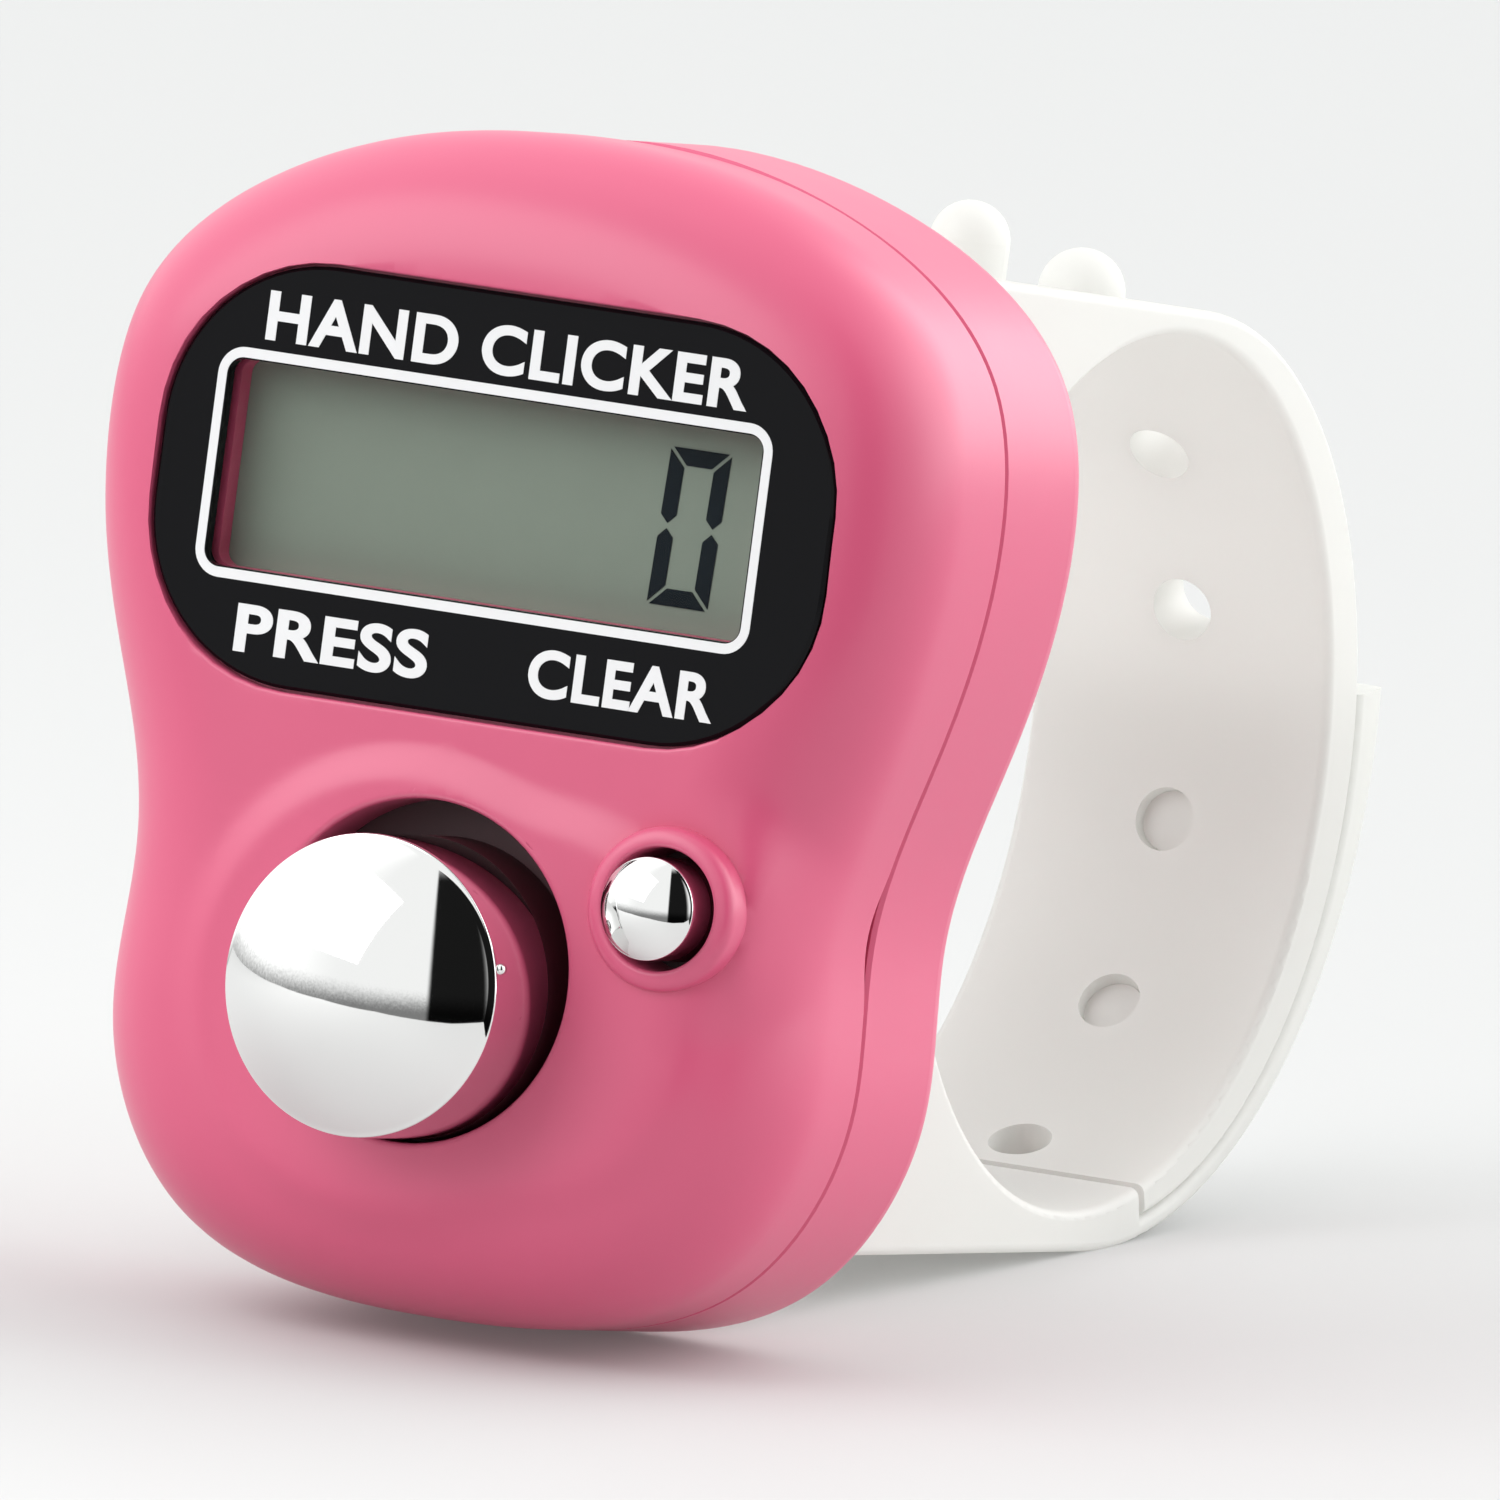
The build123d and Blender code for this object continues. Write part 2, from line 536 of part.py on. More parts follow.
with BuildPart() as reset_button:
    with BuildSketch(through(RESET_X, RESET_H)):
        add(button_profile(RESET_R, RESET_HOLE_R + RESET_LAP, RESET_RIM, RESET_DOME, RESET_STEM_R))
    revolve(axis=line_back(RESET_X, RESET_H))
finish(reset_button.part, "reset_button", STEEL)

DOME_SKIN, DOME_HEM, DOME_GAP = 0.3, 0.5, 0.03
COUNT_DOME_R, RESET_DOME_R = (3.2, 1.8), (1.7, 0.9)      # at the foot and at the crown
COUNT_PILL_R, RESET_PILL_R = 1.1, 0.45


def contact_dome(base_r, top_r):
    """Half section of a rubber dome standing on the board under a button's stem."""
    foot, crown = -(BOARD_DEPTH - THREAD_GAP), -(STEM_BACK + DOME_GAP)
    with BuildSketch() as section:
        Polygon(
            (base_r + DOME_HEM, foot), (base_r + DOME_HEM, foot + DOME_SKIN), (base_r, foot + DOME_SKIN),
            (top_r, crown), (0, crown), (0, crown - 2 * DOME_SKIN),
            (top_r - DOME_SKIN, crown - 2 * DOME_SKIN), (base_r - DOME_SKIN, foot), align=None,
        )
    return section.sketch


with BuildPart() as count_dome:
    with BuildSketch(through(COUNT_X, COUNT_H)):
        add(contact_dome(*COUNT_DOME_R))
    revolve(axis=line_back(COUNT_X, COUNT_H))
finish(count_dome.part, "count_dome", SILICONE)

with BuildPart() as reset_dome:
    with BuildSketch(through(RESET_X, RESET_H)):
        add(contact_dome(*RESET_DOME_R))
    revolve(axis=line_back(RESET_X, RESET_H))
finish(reset_dome.part, "reset_dome", SILICONE)

PILL_FRONT = STEM_BACK + DOME_GAP + 2 * DOME_SKIN + THREAD_GAP


def contact_pill(x, h, radius, travel):
    """A carbon pill under a dome; it is as thick as leaves just the button's travel above the board."""
    pill_back = BOARD_DEPTH - FIT - travel
    with BuildSketch(at_depth(pill_back)) as face:
        with Locations((x, h)):
            Circle(radius)
    extrude(face.sketch, amount=pill_back - PILL_FRONT)


with BuildPart() as count_pill:
    contact_pill(COUNT_X, COUNT_H, COUNT_PILL_R, COUNT_TRAVEL)
finish(count_pill.part, "count_pill", BLACK)

with BuildPart() as reset_pill:
    contact_pill(RESET_X, RESET_H, RESET_PILL_R, RESET_TRAVEL)
finish(reset_pill.part, "reset_pill", BLACK)

# ---------------------------------------------------------------- ring strap

FOOT_FRONT = CASE_DEPTH + FIT
BEAD_BACK, BEAD_T, BEAD_H = CASE_DEPTH - WALL - FIT, 1.35, 3.8
BEAD_FRONT = BEAD_BACK - BEAD_T
PIN_R, PIN_LENGTH = 0.5, 13.4
PEG_ROOT_GAP = 0.05
FAR = 60.0                   # past everything, for the edges of cutting shapes


def sector(start, end):
    """A wide pie slice of the side view, from one angle round the ring to another."""
    steps = [start + (end - start) * i / 4 for i in range(5)]
    return [(RING_DEPTH, RING_H)] + [on_ring(angle, FAR) for angle in steps]


def long_rims(strap):
    """The long edges of a strap's two flat sides."""
    return strap.faces().filter_by(Axis.X).edges().filter_by(lambda rim: rim.length > RING_R)


def ring_tangent(angle):
    """The plane that touches the ring's inner face at an angle; its normal points outwards."""
    outwards = back * cos(radians(angle)) + up * sin(radians(angle))
    depth, height = on_ring(angle)
    return Plane(origin=SIDE.from_local_coords((depth, height, 0)), x_dir=(1, 0, 0), z_dir=outwards)


def anchor(slot_h):
    """Tongue through the cover's slot and the bead that holds it, cut across for its pin."""
    with BuildSketch(SIDE) as tongue:
        with Locations(((FOOT_FRONT + BEAD_BACK) / 2, slot_h)):
            Rectangle(FOOT_FRONT - BEAD_BACK + 2 * FIT, TONGUE_T)
        with Locations(((BEAD_FRONT + BEAD_BACK) / 2, slot_h)):
            Rectangle(BEAD_BACK - BEAD_FRONT, BEAD_H)
    extrude(tongue.sketch, amount=TONGUE_W / 2, both=True)
    with BuildSketch(SIDE) as pin_hole:
        with Locations(((BEAD_FRONT + BEAD_BACK) / 2, slot_h)):
            Circle(PIN_R + THREAD_GAP)
    extrude(pin_hole.sketch, amount=STRAP_W, both=True, mode=Mode.SUBTRACT)


PEG_SHORT = 0.5
UPPER_ROOT_TOP, UPPER_ROOT_BOTTOM = 9.2, 2.6
STRAP_REACH = 4.0            # further than any band is thick
TOP_PEGS = ((33.4, 1.38, 11.0, 8.0), (42.3, 1.5, 9.6, 7.4))     # depth, radius, crown and root of each
LOWER_ROOT_TOP, LOWER_ROOT_BOTTOM = -17.6, -24.6

with BuildPart() as strap_upper:
    with BuildSketch(SIDE):
        with Locations(upper_centre):
            Circle(UPPER_R)
        Polygon(*sector(UPPER_END, -270.0), align=None, mode=Mode.SUBTRACT)
        Polygon(
            (FOOT_FRONT, UPPER_ROOT_TOP), (upper_centre[0], upper_centre[1] + UPPER_R), (RING_DEPTH, RING_H),
            on_ring(FOOT_ANGLE), (FOOT_FRONT, UPPER_ROOT_BOTTOM), align=None,
        )
        with Locations((RING_DEPTH, RING_H)):
            Circle(RING_R, mode=Mode.SUBTRACT)
    extrude(amount=STRAP_W / 2, both=True)
    fillet(long_rims(strap_upper), STRAP_EDGE)
    # round holes along the band
    for angle in HOLE_ANGLES:
        with BuildSketch(ring_tangent(angle).offset(-CUT)):
            Circle(HOLE_R)
        extrude(amount=STRAP_REACH + CUT, mode=Mode.SUBTRACT)
    # two domed pegs on top of the band
    for peg_depth, peg_r, peg_top, peg_root in TOP_PEGS:
        peg_foot = SIDE.from_local_coords((peg_depth, 0, 0))
        with BuildSketch(Plane(origin=peg_foot, x_dir=(1, 0, 0), z_dir=-back)):
            with BuildLine():
                Polyline((peg_r, peg_top - peg_r), (peg_r, peg_root), (0, peg_root), (0, peg_top))
                RadiusArc((0, peg_top), (peg_r, peg_top - peg_r), peg_r)
            make_face()
        revolve(axis=Axis(peg_foot, up))
    anchor(UPPER_SLOT)
finish(strap_upper.part, "strap_upper", SILICONE)

with BuildPart() as strap_lower:
    with BuildSketch(SIDE):
        with Locations(lower_centre):
            Circle(LOWER_R)
        Polygon(*sector(LOWER_END, 270.0), align=None, mode=Mode.SUBTRACT)
        Polygon(
            (FOOT_FRONT, LOWER_ROOT_BOTTOM), (lower_centre[0], lower_centre[1] - LOWER_R),
            (RING_DEPTH, RING_H), on_ring(-FOOT_ANGLE), (FOOT_FRONT, LOWER_ROOT_TOP), align=None,
        )
        with Locations((RING_DEPTH, RING_H)):
            Circle(RING_R, mode=Mode.SUBTRACT)
        # room for the end of the upper band, which lies inside this one
        with BuildSketch(mode=Mode.PRIVATE) as upper_room:
            with Locations(upper_centre):
                Circle(UPPER_R + PEG_ROOT_GAP)
            Polygon(*sector(UPPER_END - END_GAP_ANGLE, 30.0), align=None, mode=Mode.INTERSECT)
        add(upper_room.sketch, mode=Mode.SUBTRACT)
    extrude(amount=STRAP_W / 2, both=True)
    fillet(long_rims(strap_lower), STRAP_EDGE)
    # pegs that fill two of the upper band's holes, ending a little short of its inner face
    for angle in PEG_ANGLES:
        with BuildSketch(ring_tangent(angle).offset(PEG_SHORT)):
            Circle(HOLE_R - PEG_ROOT_GAP)
        extrude(amount=LOWER_R - RING_R - PEG_SHORT)
    anchor(LOWER_SLOT)
    stand_flat()
finish(strap_lower.part, "strap_lower", SILICONE)

with BuildPart() as strap_pins:
    for slot_h in (UPPER_SLOT, LOWER_SLOT):
        with BuildSketch(SIDE):
            with Locations(((BEAD_FRONT + BEAD_BACK) / 2, slot_h)):
                Circle(PIN_R)
        extrude(amount=PIN_LENGTH / 2, both=True)
finish(strap_pins.part, "strap_pins", STEEL)

# the numbers that the assembly's record quotes
print("lean", round(degrees(LEAN), 3), "back", back, "up", up)
print("ring centre", SIDE.from_local_coords((RING_DEPTH, RING_H, 0)))
print("door centre", FACE.from_local_coords((0, CELL_H, -CASE_DEPTH)))
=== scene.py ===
import json
from math import asin, cos, pi, radians, sin

import bmesh
import bpy
import numpy as np
from mathutils import Matrix, Vector


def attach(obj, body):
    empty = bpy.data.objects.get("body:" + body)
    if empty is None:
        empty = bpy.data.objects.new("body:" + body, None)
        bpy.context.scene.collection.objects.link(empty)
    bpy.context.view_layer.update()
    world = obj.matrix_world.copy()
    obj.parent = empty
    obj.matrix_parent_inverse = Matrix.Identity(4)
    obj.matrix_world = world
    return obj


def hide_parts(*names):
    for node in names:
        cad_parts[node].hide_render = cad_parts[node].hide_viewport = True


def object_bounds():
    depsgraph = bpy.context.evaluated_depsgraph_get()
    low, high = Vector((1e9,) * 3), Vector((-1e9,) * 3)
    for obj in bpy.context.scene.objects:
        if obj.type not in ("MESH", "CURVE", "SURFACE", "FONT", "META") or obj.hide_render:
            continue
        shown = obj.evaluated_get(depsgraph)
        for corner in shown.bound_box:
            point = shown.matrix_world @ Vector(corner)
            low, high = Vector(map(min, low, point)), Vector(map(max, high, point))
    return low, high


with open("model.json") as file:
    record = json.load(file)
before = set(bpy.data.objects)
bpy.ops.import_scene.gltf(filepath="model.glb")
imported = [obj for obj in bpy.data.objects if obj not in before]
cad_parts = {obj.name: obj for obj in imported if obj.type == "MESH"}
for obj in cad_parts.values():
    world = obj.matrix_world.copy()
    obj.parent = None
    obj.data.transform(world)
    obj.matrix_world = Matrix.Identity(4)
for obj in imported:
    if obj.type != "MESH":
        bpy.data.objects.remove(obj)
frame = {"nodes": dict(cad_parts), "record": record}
cad_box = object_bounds()

MM = 0.001
nodes = frame["nodes"]
record = frame["record"]

# ---------------------------------------------------------------- the case's own frame
# X runs across the face, H up it and OUT comes out of it, in millimetres from the middle of the display.
RING_DEPTH, RING_H = 39.0, -7.7
joints = {joint["name"]: joint for joint in record["behaviour"]["joints"]}
ring_centre = Vector(record["mounts"][0]["pos_m"])
across = Vector((1, 0, 0))
back = Vector(joints["count_press"]["axis"]).normalized()
up = Vector((0, -back.z, back.y))
face_origin = ring_centre - back * RING_DEPTH * MM - up * RING_H * MM

CASE_TOP, CASE_BOTTOM = 12.3, -27.5
CASE_SIDE = [
    (9.5, 10.5), (14.9, 5.9), (15.85, 1.2), (14.65, -6.3), (13.05, -12.9), (13.1, -19.0), (10.0, -25.0),
]
FACE_RISE, PARTING, WALL, FRONT_ROUND, GROOVE = 0.25, 7.0, 1.3, 4.9, 0.14
LABEL_SPOT, LABEL_W, LABEL_H, LABEL_CORNER, LABEL_T = (0.35, -0.15), 25.3, 14.2, 5.8, 0.45
WINDOW_W, WINDOW_H, WINDOW_CORNER = 20.2, 6.95, 0.5
PANE_LAP, PANE_BACK, LCD_DEPTH = 0.85, 0.97, 1.7
COUNT_X, COUNT_H, COUNT_HOLE_H, COUNT_HOLE_R, COUNT_R = -0.04, -16.4, -15.85, 5.75, 5.08
COUNT_RIM, COUNT_DOME = 4.25, 2.1
RESET_X, RESET_H, RESET_HOLE_R, RESET_R, RESET_RIM, RESET_DOME = 8.92, -12.55, 2.07, 1.73, 1.8, 0.75
COLLAR_R, COLLAR_RISE = 2.75, 0.8
PLATEAU_DISCS, PLATEAU_RISE = ((-0.84, -16.67, 7.7), (4.75, -16.5, 6.3)), 0.36      # x, h and radius
SCREW_SPOTS = [(-8.8, 7.7), (8.8, 7.7), (-9.7, -20.4), (9.7, -20.4)]
BOARD_SPOTS = [(-12.9, -0.5), (12.9, -0.5), (0, -24.5)]


def place(x, h, out=0.0):
    """A world position, in metres, from the case's own frame, in millimetres."""
    return face_origin + (across * x + up * h - back * out) * MM


def smooth_step(low, high, value):
    """0 below low, 1 above high, and a smooth rise between them."""
    t = np.clip((value - low) / (high - low), 0.0, 1.0)
    return t * t * (3 - 2 * t)


# ---------------------------------------------------------------- camera
# The picture's axes in the case's frame: the camera stands to the right of the face, a little above it.
FRAME_WIDTH, CAMERA_DISTANCE, SENSOR = 0.050, 2.0, 36.0
PICTURE_LEFT, PICTURE_UP = 8.88 * MM, 8.33 * MM     # the display's middle, from the picture's middle
picture_right = (across * 0.8829 + back * 0.4513 + up * 0.1294).normalized()
picture_up = (across * -0.1357 + back * -0.0185 + up * 0.9905).normalized()
towards_camera = picture_right.cross(picture_up).normalized()
picture_up = towards_camera.cross(picture_right)

camera_data = bpy.data.cameras.new("photo_camera")
camera_data.sensor_width = SENSOR
camera_data.lens = SENSOR * CAMERA_DISTANCE / FRAME_WIDTH
camera_data.clip_start = 0.01
camera_data.clip_end = 20.0
camera = bpy.data.objects.new("photo_camera", camera_data)
bpy.context.scene.collection.objects.link(camera)
aim = face_origin + picture_right * PICTURE_LEFT - picture_up * PICTURE_UP
axes = Matrix((picture_right, picture_up, towards_camera)).transposed().to_4x4()
camera.matrix_world = Matrix.Translation(aim + towards_camera * CAMERA_DISTANCE) @ axes
bpy.context.scene.camera = camera

# ---------------------------------------------------------------- materials


def material(name, colour, roughness, **sockets):
    """A Principled material; further sockets are named with underscores for spaces."""
    made = bpy.data.materials.new(name)
    made.use_nodes = True
    shader = made.node_tree.nodes["Principled BSDF"]
    shader.inputs["Base Color"].default_value = (*colour, 1.0)
    shader.inputs["Roughness"].default_value = roughness
    for socket, value in sockets.items():
        shader.inputs[socket.replace("_", " ")].default_value = value
    return made


def add_grain(made, scale, height, colour_shift=0.0, roughness_shift=0.0, detail=3.0):
    """Fine surface grain: bump, and a slight wander of colour and roughness, from object coordinates."""
    tree = made.node_tree
    shader = tree.nodes["Principled BSDF"]
    where = tree.nodes.new("ShaderNodeTexCoord")
    noise = tree.nodes.new("ShaderNodeTexNoise")
    noise.inputs["Scale"].default_value = scale
    noise.inputs["Detail"].default_value = detail
    tree.links.new(where.outputs["Object"], noise.inputs["Vector"])
    if height:
        bump = tree.nodes.new("ShaderNodeBump")
        bump.inputs["Strength"].default_value = 1.0
        bump.inputs["Distance"].default_value = height
        tree.links.new(noise.outputs["Fac"], bump.inputs["Height"])
        tree.links.new(bump.outputs["Normal"], shader.inputs["Normal"])
    for shift, socket in ((colour_shift, "Base Color"), (roughness_shift, "Roughness")):
        if not shift:
            continue
        wander = tree.nodes.new("ShaderNodeTexNoise")
        wander.inputs["Scale"].default_value = scale * 0.12
        tree.links.new(where.outputs["Object"], wander.inputs["Vector"])
        base = shader.inputs[socket].default_value
        span = tree.nodes.new("ShaderNodeMapRange")
        if socket == "Roughness":
            span.inputs["To Min"].default_value = base - shift
            span.inputs["To Max"].default_value = base + shift
            tree.links.new(wander.outputs["Fac"], span.inputs["Value"])
            tree.links.new(span.outputs["Result"], shader.inputs[socket])
        else:
            mix = tree.nodes.new("ShaderNodeMix")
            mix.data_type = "RGBA"
            mix.inputs["A"].default_value = [c * (1 - shift) for c in base[:3]] + [1.0]
            mix.inputs["B"].default_value = [min(1.0, c * (1 + shift)) for c in base[:3]] + [1.0]
            tree.links.new(wander.outputs["Fac"], mix.inputs["Factor"])
            tree.links.new(mix.outputs["Result"], shader.inputs[socket])
    return made


def wear(piece, made):
    """Gives a piece or a CAD node one material."""
    piece.data.materials.clear()
    piece.data.materials.append(made)


pink = add_grain(material("pink_abs", (0.635, 0.092, 0.192), 0.34, Specular_IOR_Level=0.62),
                 2600.0, 0.0000015, colour_shift=0.02, roughness_shift=0.03)
label_black = add_grain(material("label_black", (0.004, 0.004, 0.005), 0.12, Specular_IOR_Level=0.12),
                        900.0, 0.0000008, roughness_shift=0.02)
print_white = add_grain(material("print_white", (0.80, 0.80, 0.81), 0.42),
                        3000.0, 0.0000008, colour_shift=0.03)
chrome = add_grain(material("chrome_plate", (0.82, 0.82, 0.815), 0.035, Metallic=1.0),
                   1500.0, 0.0000003, roughness_shift=0.015)
steel = add_grain(material("zinc_steel", (0.55, 0.55, 0.57), 0.32, Metallic=1.0),
                  4000.0, 0.000001, roughness_shift=0.06)
cell_steel = add_grain(material("cell_steel", (0.66, 0.66, 0.67), 0.26, Metallic=1.0),
                       3000.0, 0.0000008, roughness_shift=0.05)
contact_metal = add_grain(material("contact_metal", (0.72, 0.68, 0.58), 0.28, Metallic=1.0),
                          3000.0, 0.0000008, roughness_shift=0.05)
silicone = add_grain(material("silicone", (0.82, 0.82, 0.80), 0.38, IOR=1.41),
                     1800.0, 0.0000012, colour_shift=0.012, roughness_shift=0.04)


def let_light_through(made, tint, share):
    """Mixes a share of light passed straight on through the skin into a material."""
    tree = made.node_tree
    shader = tree.nodes["Principled BSDF"]
    output = next(node for node in tree.nodes if node.type == "OUTPUT_MATERIAL")
    glow = tree.nodes.new("ShaderNodeBsdfTranslucent")
    glow.inputs["Color"].default_value = (*tint, 1.0)
    mix = tree.nodes.new("ShaderNodeMixShader")
    mix.inputs["Fac"].default_value = share
    tree.links.new(shader.outputs["BSDF"], mix.inputs[1])
    tree.links.new(glow.outputs["BSDF"], mix.inputs[2])
    tree.links.new(mix.outputs["Shader"], output.inputs["Surface"])


let_light_through(silicone, (0.90, 0.90, 0.88), 0.45)
black_plastic = add_grain(material("black_plastic", (0.02, 0.02, 0.02), 0.5),
                          3000.0, 0.000002, roughness_shift=0.05)
# painted shade: a dark matte standing in for the shadow in the gap around the button caps' skirts and
# flanges
flange_shade_plastic = add_grain(material("flange_shade_plastic", (0.05, 0.008, 0.014), 0.5),
                         2500.0, 0.000002, roughness_shift=0.05)
segment = add_grain(material("lcd_segment", (0.006, 0.010, 0.015), 0.5, Specular_IOR_Level=0.05),
                    3000.0, 0.0, colour_shift=0.1)
reflector = add_grain(material("lcd_reflector", (0.215, 0.25, 0.21), 0.62),
                      5000.0, 0.0000008, colour_shift=0.03)
board_green = add_grain(material("solder_mask", (0.02, 0.16, 0.05), 0.35),
                        1500.0, 0.000002, colour_shift=0.08)
epoxy = add_grain(material("chip_epoxy", (0.012, 0.012, 0.013), 0.3), 2500.0, 0.000003, roughness_shift=0.08)
component = add_grain(material("component_body", (0.30, 0.20, 0.10), 0.5),
                      2500.0, 0.000002, colour_shift=0.08)
zebra = add_grain(material("zebra_rubber", (0.45, 0.16, 0.20), 0.6), 4000.0, 0.000001, colour_shift=0.1)
carbon = add_grain(material("carbon_rubber", (0.02, 0.02, 0.02), 0.7), 4000.0, 0.000001, colour_shift=0.1)


def clear_sheet(name, tint, roughness, gloss_share):
    """A thin clear sheet: it lets light straight through and adds a Fresnel gloss."""
    made = material(name, tint, roughness, Transmission_Weight=1.0, IOR=1.45)
    tree = made.node_tree
    shader = tree.nodes["Principled BSDF"]
    output = next(node for node in tree.nodes if node.type == "OUTPUT_MATERIAL")
    through = tree.nodes.new("ShaderNodeBsdfTransparent")
    through.inputs["Color"].default_value = (*tint, 1.0)
    gloss = tree.nodes.new("ShaderNodeBsdfGlossy")
    gloss.inputs["Roughness"].default_value = roughness
    fresnel = tree.nodes.new("ShaderNodeFresnel")
    fresnel.inputs["IOR"].default_value = 1.45
    mix = tree.nodes.new("ShaderNodeMixShader")
    weaken = tree.nodes.new("ShaderNodeMath")
    weaken.operation = "MULTIPLY"
    weaken.inputs[1].default_value = gloss_share
    tree.links.new(fresnel.outputs["Fac"], weaken.inputs[0])
    tree.links.new(weaken.outputs[0], mix.inputs["Fac"])
    tree.links.new(through.outputs["BSDF"], mix.inputs[1])
    tree.links.new(gloss.outputs["BSDF"], mix.inputs[2])
    tree.links.new(mix.outputs["Shader"], output.inputs["Surface"])
    tree.nodes.remove(shader)
    return made


pane_clear = clear_sheet("pane_clear", (0.97, 0.98, 0.97), 0.03, 0.12)
glass_clear = clear_sheet("lcd_glass", (0.96, 0.98, 0.96), 0.05, 1.0)

FINISHES = {
    "back_cover": pink, "battery_door": pink, "front_housing": pink, "case_screws": steel,
    "label_plate": label_black, "window_pane": pane_clear, "lcd_front_film": reflector,
    "lcd_front_glass": glass_clear, "lcd_rear_glass": glass_clear, "lcd_reflector": reflector,
    "digit_segments": segment, "lcd_holder": black_plastic, "zebra_strip": zebra,
    "circuit_board": board_green, "board_screws": steel, "chip_blob": epoxy, "board_components": component,
    "battery_holder": black_plastic, "battery": cell_steel, "battery_contact_negative": contact_metal,
    "battery_contact_positive": contact_metal, "count_button": chrome, "reset_button": chrome,
    "count_dome": silicone, "reset_dome": silicone, "count_pill": carbon, "reset_pill": carbon,
    "strap_upper": silicone, "strap_lower": silicone, "strap_pins": steel,
}
for node_name, finish in FINISHES.items():
    wear(nodes[node_name], finish)

# ---------------------------------------------------------------- shapes


def link(name, mesh):
    """An object for a mesh, in the scene."""
    made = bpy.data.objects.new(name, mesh)
    bpy.context.scene.collection.objects.link(made)
    return made


def closed_spline(points, samples):
    """Evenly spaced points and outward normals on the smooth closed curve through the given points."""
    knots = np.array(points, float)
    count = len(knots)
    steps = np.linalg.norm(np.roll(knots, -1, 0) - knots, axis=1)
    system = np.zeros((count, count))
    slopes = np.zeros((count, 2))
    for i in range(count):
        before, after = steps[i - 1], steps[i]
        system[i, i - 1] += before
        system[i, i] += 2 * (before + after)
        system[i, (i + 1) % count] += after
        slopes[i] = 6 * ((knots[(i + 1) % count] - knots[i]) / after - (knots[i] - knots[i - 1]) / before)
    bends = np.linalg.solve(system, slopes)
    ends = np.concatenate([[0], np.cumsum(steps)])
    where = np.linspace(0, ends[-1], samples, endpoint=False)
    span = np.clip(np.searchsorted(ends, where, side="right") - 1, 0, count - 1)
    after = (span + 1) % count
    run, length = (where - ends[span])[:, None], steps[span][:, None]
    rest = length - run
    place_on = (bends[span] * rest**3 + bends[after] * run**3) / (6 * length)
    place_on += (knots[span] / length - bends[span] * length / 6) * rest
    place_on += (knots[after] / length - bends[after] * length / 6) * run
    along = (-bends[span] * rest**2 + bends[after] * run**2) / (2 * length)
    along += (knots[after] - knots[span]) / length - (bends[after] - bends[span]) * length / 6
    along /= np.linalg.norm(along, axis=1)[:, None]
    return place_on, np.stack([-along[:, 1], along[:, 0]], 1)


def skin(rings):
    """Faces that join equal rings in order, as indices, ring by ring."""
    count = len(rings[0])
    faces = []
    for i in range(len(rings) - 1):
        low, high = i * count, (i + 1) * count
        for j in range(count):
            k = (j + 1) % count
            faces.append((low + j, low + k, high + k, high + j))
    return faces


def ring_solid(name, rings):
    """A closed mesh from a stack of rings, its two ends capped."""
    count = len(rings[0])
    faces = skin(rings)
    faces.append(tuple(range(count - 1, -1, -1)))
    faces.append(tuple(range(count * (len(rings) - 1), count * len(rings))))
    mesh = bpy.data.meshes.new(name)
    mesh.from_pydata([place(*v) for ring in rings for v in ring], [], faces)
    shape = bmesh.new()
    shape.from_mesh(mesh)
    bmesh.ops.recalc_face_normals(shape, faces=shape.faces)
    shape.to_mesh(mesh)
    shape.free()
    return link(name, mesh)


def lathed(name, x, h, profile, around=96):
    """A solid turned about the line that runs out of the face at (x, h), from (radius, out) pairs."""
    turns = [2 * pi * i / around for i in range(around)]
    return ring_solid(name, [[(x + r * cos(t), h + r * sin(t), out) for t in turns] for r, out in profile])


def rounded_ring(middle, size, corner, grow, out, arc_steps=10):
    """The outline of a rounded rectangle, grown by a margin, at one level."""
    r, ring = corner + grow, []
    for sx, sy, start in ((1, 1, 0), (-1, 1, 90), (-1, -1, 180), (1, -1, 270)):
        for step in range(arc_steps + 1):
            turn = radians(start + 90 * step / arc_steps)
            ring.append((middle[0] + sx * (size[0] / 2 - corner) + r * cos(turn),
                         middle[1] + sy * (size[1] / 2 - corner) + r * sin(turn), out))
    return ring


def rounded_block(name, middle, size, corner, profile):
    """A rounded rectangle's solid, from (growth, out) pairs."""
    return ring_solid(name, [rounded_ring(middle, size, corner, grow, out) for grow, out in profile])


def combine(base, tools, operation):
    """Joins or cuts a solid with others, and removes them."""
    for tool in tools:
        change = base.modifiers.new("change", "BOOLEAN")
        change.object = tool
        change.operation = operation
        change.solver = "EXACT"
        bpy.context.view_layer.update()
        result = bpy.data.meshes.new_from_object(base.evaluated_get(bpy.context.evaluated_depsgraph_get()))
        base.modifiers.clear()
        old = base.data
        result.name = old.name
        base.data = result
        bpy.data.meshes.remove(old)
        bpy.data.objects.remove(tool)
    return base


def smooth_by_angle(piece, angle):
    """Smooth shading that breaks at edges sharper than an angle, in degrees."""
    mesh = piece.data
    shape = bmesh.new()
    shape.from_mesh(mesh)
    bmesh.ops.remove_doubles(shape, verts=shape.verts, dist=1e-7)
    for face in shape.faces:
        face.smooth = True
    for edge in shape.edges:
        edge.smooth = len(edge.link_faces) == 2 and edge.calc_face_angle(0) < radians(angle)
    shape.to_mesh(mesh)
    shape.free()


def settle(piece, name, body, slot, made, *stands_for):
    """Names a piece and gives it its body, finish and the CAD nodes it stands for; the slot is not used."""
    piece.name = name
    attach(piece, body)
    if stands_for:
        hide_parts(*stands_for)
    wear(piece, made)
    return piece


